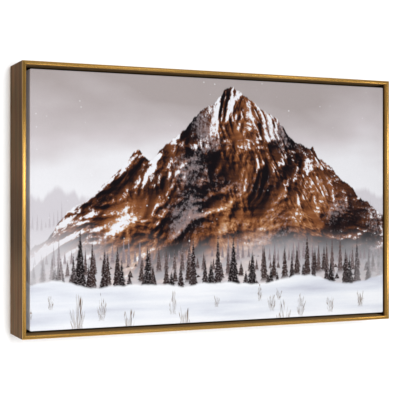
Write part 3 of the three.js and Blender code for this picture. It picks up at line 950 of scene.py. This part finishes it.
def staple_tree():
    g, given = geometry_tree("staples_along_lines", {
        "Spacing": "Float", "Crown": "Float", "Leg": "Float", "Wire": "Float",
        "Tilt": "Float", "Seed": "Int", "Finish": "Material"})
    index = g.add("GeometryNodeInputIndex")
    aside = index - 1.5
    leg = g.math("GREATER_THAN", abs(aside), 1.0) * given["Leg"]
    x = g.math("SIGN", aside) * given["Crown"] * 0.5
    line = g.add("GeometryNodeMeshLine", None, {"Count": 4})
    line = g.add("GeometryNodeSetPosition", None, {"Geometry": line, "Position": g.join(x, -leg)})
    line = g.add("GeometryNodeMeshToCurve", None, {"Mesh": line})
    line = g.add("GeometryNodeFilletCurve", {"mode": "POLY"},
                 {"Curve": line, "Radius": given["Wire"] * 0.8, "Count": 3})
    ring = g.add("GeometryNodeCurvePrimitiveCircle", None,
                 {"Resolution": 8, "Radius": given["Wire"] * 0.5})
    staple = g.add("GeometryNodeCurveToMesh", None,
                   {"Curve": line, "Profile Curve": ring, "Fill Caps": True})
    staple = g.add("GeometryNodeTransform", None, {"Geometry": staple, "Scale": (1, 1, 1.9)})
    paths = g.add("GeometryNodeMeshToCurve", None, {"Mesh": given["Geometry"]})
    paths = g.add("GeometryNodeResampleCurve", {"mode": "LENGTH"},
                  {"Curve": paths, "Length": given["Spacing"]})
    along = g.add("FunctionNodeAlignRotationToVector", {"axis": "X", "pivot_axis": "Y"},
                  {"Vector": g.add("GeometryNodeInputTangent")})
    tilt = g.add("FunctionNodeRandomValue", {"data_type": "FLOAT"},
                 {"Min_001": given["Tilt"] * -1.0, "Max_001": given["Tilt"],
                  "Seed": given["Seed"]}, "Value_001")
    extra = g.add("FunctionNodeAxisAngleToRotation", None, {"Axis": (0, 1, 0), "Angle": tilt})
    turn = g.add("FunctionNodeRotateRotation", {"rotation_space": "LOCAL"},
                 {"Rotation": along, "Rotate By": extra})
    copies = g.add("GeometryNodeInstanceOnPoints", None,
                   {"Points": paths, "Instance": staple, "Rotation": turn})
    end_tree(g, copies, given["Finish"])
    return g


def build_staples(finish):
    half_x, half_z = PRINT_WIDTH / 2 - STAPLE_INSET, PRINT_HEIGHT / 2 - STAPLE_INSET
    end_x, end_z = half_x - STAPLE_TRIM, half_z - STAPLE_TRIM
    y = PRINT_HIGH.y + STAPLE_LIFT
    points, edges = [], []
    for ends in (((-end_x, half_z), (end_x, half_z)), ((-end_x, -half_z), (end_x, -half_z)),
                 ((-half_x, -end_z), (-half_x, end_z)), ((half_x, -end_z), (half_x, end_z))):
        edges.append((len(points), len(points) + 1))
        points += [(MIDDLE.x + x, y, MIDDLE.z + z) for x, z in ends]
    piece = grow("staples", points, edges, staple_tree(), {**STAPLES, "Finish": finish})
    smooth(piece, 50)
    hand_over(piece, "screw_zinc")


def fixing_tree():
    g, given = geometry_tree("fixings_on_points", {
        "Pattern": "Object", "Turn": "Float", "Seed": "Int", "Finish": "Material"})
    pattern = g.add("GeometryNodeObjectInfo", {"transform_space": "ORIGINAL"},
                    {"Object": given["Pattern"]}, "Geometry")
    angle = g.add("FunctionNodeRandomValue", {"data_type": "FLOAT"},
                  {"Min_001": 0.0, "Max_001": given["Turn"], "Seed": given["Seed"]}, "Value_001")
    turn = g.add("FunctionNodeAxisAngleToRotation", None, {"Axis": (0, 1, 0), "Angle": angle})
    copies = g.add("GeometryNodeInstanceOnPoints", None,
                   {"Points": given["Geometry"], "Instance": pattern, "Rotation": turn})
    end_tree(g, copies, given["Finish"])
    return g


def screw_pattern():
    """A pan-headed screw with a cross recess, its head's underside at y = 0."""
    point = [(0, -0.0160), (0.0006, -0.0152), (0.0013, -0.0135), (0.0015, -0.0120)]
    head = [(0.0015, 0.0), (0.0029, 0.0), (0.0031, 0.0002), (0.0031, 0.0006),
            (0.00285, 0.0011), (0.0022, 0.00148), (0.0012, 0.00166), (0, 0.0017)]
    screw = from_bmesh("screw_pattern", turned(point + head, 32))
    bottom, top = (0.0003, 0.0009, 0.0003), (0.0021, 0.0019, 0.00048)  # y, reach, half a width
    bm = bmesh.new()
    for along_x in (True, False):
        for vert in bmesh.ops.create_cube(bm, size=1)["verts"]:
            y, reach, width = bottom if vert.co.y < 0 else top
            size_x, size_z = (reach, width) if along_x else (width, reach)
            vert.co = (math.copysign(size_x, vert.co.x), y, math.copysign(size_z, vert.co.z))
    cutter = from_bmesh("recess", bm)
    cut = screw.modifiers.new("recess", "BOOLEAN")
    cut.operation, cut.solver, cut.object = "DIFFERENCE", "EXACT", cutter
    cut.use_self = True
    settle(screw)
    bpy.data.objects.remove(cutter)
    smooth(screw, 40)
    return screw


def corner_nail_pattern():
    """The crimped steel wedge across a mitre, its edge flush with the wood."""
    half = CORNER_NAIL_THICKNESS / 2
    section = ((CORNER_NAIL_LIFT, -half), (CORNER_NAIL_LIFT, half),
               (-CORNER_NAIL_DEPTH, half), (-CORNER_NAIL_DEPTH, -half))
    bm = bmesh.new()
    rows = []
    for i in range(-2, 3):
        x, z = i * CORNER_NAIL_STEP, CORNER_NAIL_CREST * (1 if i % 2 else -1)
        rows.append([bm.verts.new((x, y, z + aside)) for y, aside in section])
    for near, far in zip(rows, rows[1:]):
        for i in range(4):
            j = (i + 1) % 4
            bm.faces.new((near[i], near[j], far[j], far[i]))
    bm.faces.new(rows[0])
    bm.faces.new(rows[-1])
    bmesh.ops.recalc_face_normals(bm, faces=bm.faces)
    return from_bmesh("corner_nail_pattern", bm)


def build_screws(finish):
    nodes = sorted(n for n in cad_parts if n.startswith("screw_"))
    points = []
    for node in nodes:
        low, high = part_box(node)
        points.append(((low.x + high.x) / 2, FRAME_BACK + CLEARANCE, (low.z + high.z) / 2))
    pattern = screw_pattern()
    piece = grow("screws", points, [], fixing_tree(),
                 {"Pattern": pattern, "Turn": math.pi, "Seed": 3, "Finish": finish})
    bpy.data.objects.remove(pattern)
    hand_over(piece, "screw_zinc", *nodes)


def build_corner_nails(finish):
    pattern = corner_nail_pattern()
    for name, signs, angle in (("rising", ((1, 1), (-1, -1)), 45),
                               ("falling", ((-1, 1), (1, -1)), -45)):
        points = []
        for sx, sz in signs:
            # below, a wall pad covers the outer one's place
            insets = CORNER_NAIL_INSETS if sz > 0 else CORNER_NAIL_INSETS[1:]
            points += [(MIDDLE.x + sx * (FRAME_WIDTH / 2 - i), FRAME_BACK,
                        MIDDLE.z + sz * (FRAME_HEIGHT / 2 - i)) for i in insets]
        pattern.data.transform(Matrix.Rotation(math.radians(angle), 4, "Y"))
        piece = grow("corner_nails_" + name, points, [], fixing_tree(),
                     {"Pattern": pattern, "Turn": 0.0, "Seed": 1, "Finish": finish})
        pattern.data.transform(Matrix.Rotation(math.radians(-angle), 4, "Y"))
        hand_over(piece, "screw_zinc")
    bpy.data.objects.remove(pattern)


# ---------- hanger nails and wall pads ----------

def build_hanger_nails(finish):
    for side in ("left", "right"):
        node = "hanger_nail_" + side
        low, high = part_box(node)
        radius, height, point = (high.x - low.x) / 2, NAIL_HEAD_HEIGHT, low.y - high.y
        outline = [(0, point), (NAIL_SHANK_RADIUS * 0.875, point + NAIL_POINT),
                   (NAIL_SHANK_RADIUS, -height), (radius * 0.95, -height), (radius, -height * 0.8),
                   (radius * 0.85, -height * 0.4), (radius * 0.5, -height * 0.1), (0, 0)]
        place = ((low.x + high.x) / 2, high.y, (low.z + high.z) / 2)
        piece = from_bmesh("nail_" + side, turned(outline, 24, place), finish)
        smooth(piece, 50)
        hand_over(piece, "hanger_steel", node)


def build_bumpers(finish):
    for side in ("left", "right"):
        node = "bumper_" + side
        low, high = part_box(node)
        radius, height = (high.x - low.x) / 2, high.y - low.y
        outline = [(0, -height), (radius * 0.96, -height), (radius, -height * 0.93)]
        for i in range(7):
            a = math.pi / 2 * i / 6
            outline.append((radius - PAD_EDGE_RADIUS * (1 - math.cos(a)),
                            -PAD_EDGE_RADIUS * (1 - math.sin(a))))
        outline += [(radius * 0.5, 0), (0, 0)]
        place = ((low.x + high.x) / 2, high.y, (low.z + high.z) / 2)
        piece = from_bmesh("wall_pad_" + side, turned(outline, 48, place), finish)
        smooth(piece, 50)
        hand_over(piece, "pad_felt", node)


# ---------- wall and floor ----------

def flat_piece(name, material, *corners):
    mesh = bpy.data.meshes.new(name)
    mesh.from_pydata(corners, [], [(0, 1, 2, 3)])
    return add_object(name, mesh, material)


def build_stage():
    """A white wall that shows from the front alone, and a pale floor."""
    f = Finish("white_wall")
    paint = f.add("ShaderNodeBsdfDiffuse", None, {"Color": (0.93, 0.93, 0.93, 1)})
    clear = f.add("ShaderNodeBsdfTransparent")
    from_behind = f.add("ShaderNodeNewGeometry", out="Backfacing")
    mixed = f.add("ShaderNodeMixShader", None, {0: from_behind, 1: paint, 2: clear})
    f.add("ShaderNodeOutputMaterial", None, {"Surface": mixed})
    r, y, z = STAGE_REACH, WALL_Y, FLOOR_Z
    wall = flat_piece("wall", f.material, (-r, y, z), (r, y, z), (r, y, r), (-r, y, r))
    wall.visible_shadow = False

    f = Finish("pale_floor")
    grain = f.noise(f.add("ShaderNodeTexCoord", out="Object"), scale=3, detail=3)
    f.done(Base_Color=f.ramp(grain, (0.3, "dddcda"), (0.7, "e2e1df")), Roughness=0.8)
    floor = flat_piece("floor", f.material, (-r, -r, z), (r, -r, z), (r, r, z), (-r, r, z))


# ---------- the whole object ----------

def along_and_upright(make, name, *settings):
    """A finish of each grain direction, across and upright."""
    return {way: make("%s_%s" % (name, way), way == "upright", *settings)
            for way in ("across", "upright")}


build_camera()
build_room()
build_stage()

# the gilt's two finishes also differ in the painted shade of their channels
gilded = along_and_upright(gilt, "gilt")
pine = along_and_upright(timber, "pine", "ecd7b0", "dcc092", "c4a06e")
beech = along_and_upright(timber, "beech", "d9b384", "c89a68", "a9784a", 1.8)
for side in SIDES:
    way = "upright" if side in ("left", "right") else "across"
    build_rail(side, gilded[way])
    eased_copy("bar_" + side, "stretcher_" + side, BAR_EASE, pine[way], "stretcher_pine")
for node in sorted(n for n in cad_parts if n.startswith("key_")):
    way = "across" if node.endswith("across") else "upright"
    eased_copy(node.replace("key", "wedge"), node, WEDGE_EASE, beech[way], "key_beech")

folds = build_corner_folds(primed_canvas())
build_light(build_cloth(printed_canvas(), raw_cotton()))
staple_steel = metal("staple_steel", "8d9094", "d0d2d4", 0.36)
zinc = metal("bright_zinc", "8f9398", "d9dbdd", 0.3)
brassed = metal("brassed_steel", "8a6a34", "d2ac62", 0.34)
build_staples(staple_steel)
build_screws(zinc)
build_corner_nails(staple_steel)
eased_copy("sawtooth_hanger", "hanger", HANGER_EASE, brassed, "hanger_steel")
build_hanger_nails(brassed)
build_bumpers(felt("dark_felt"))
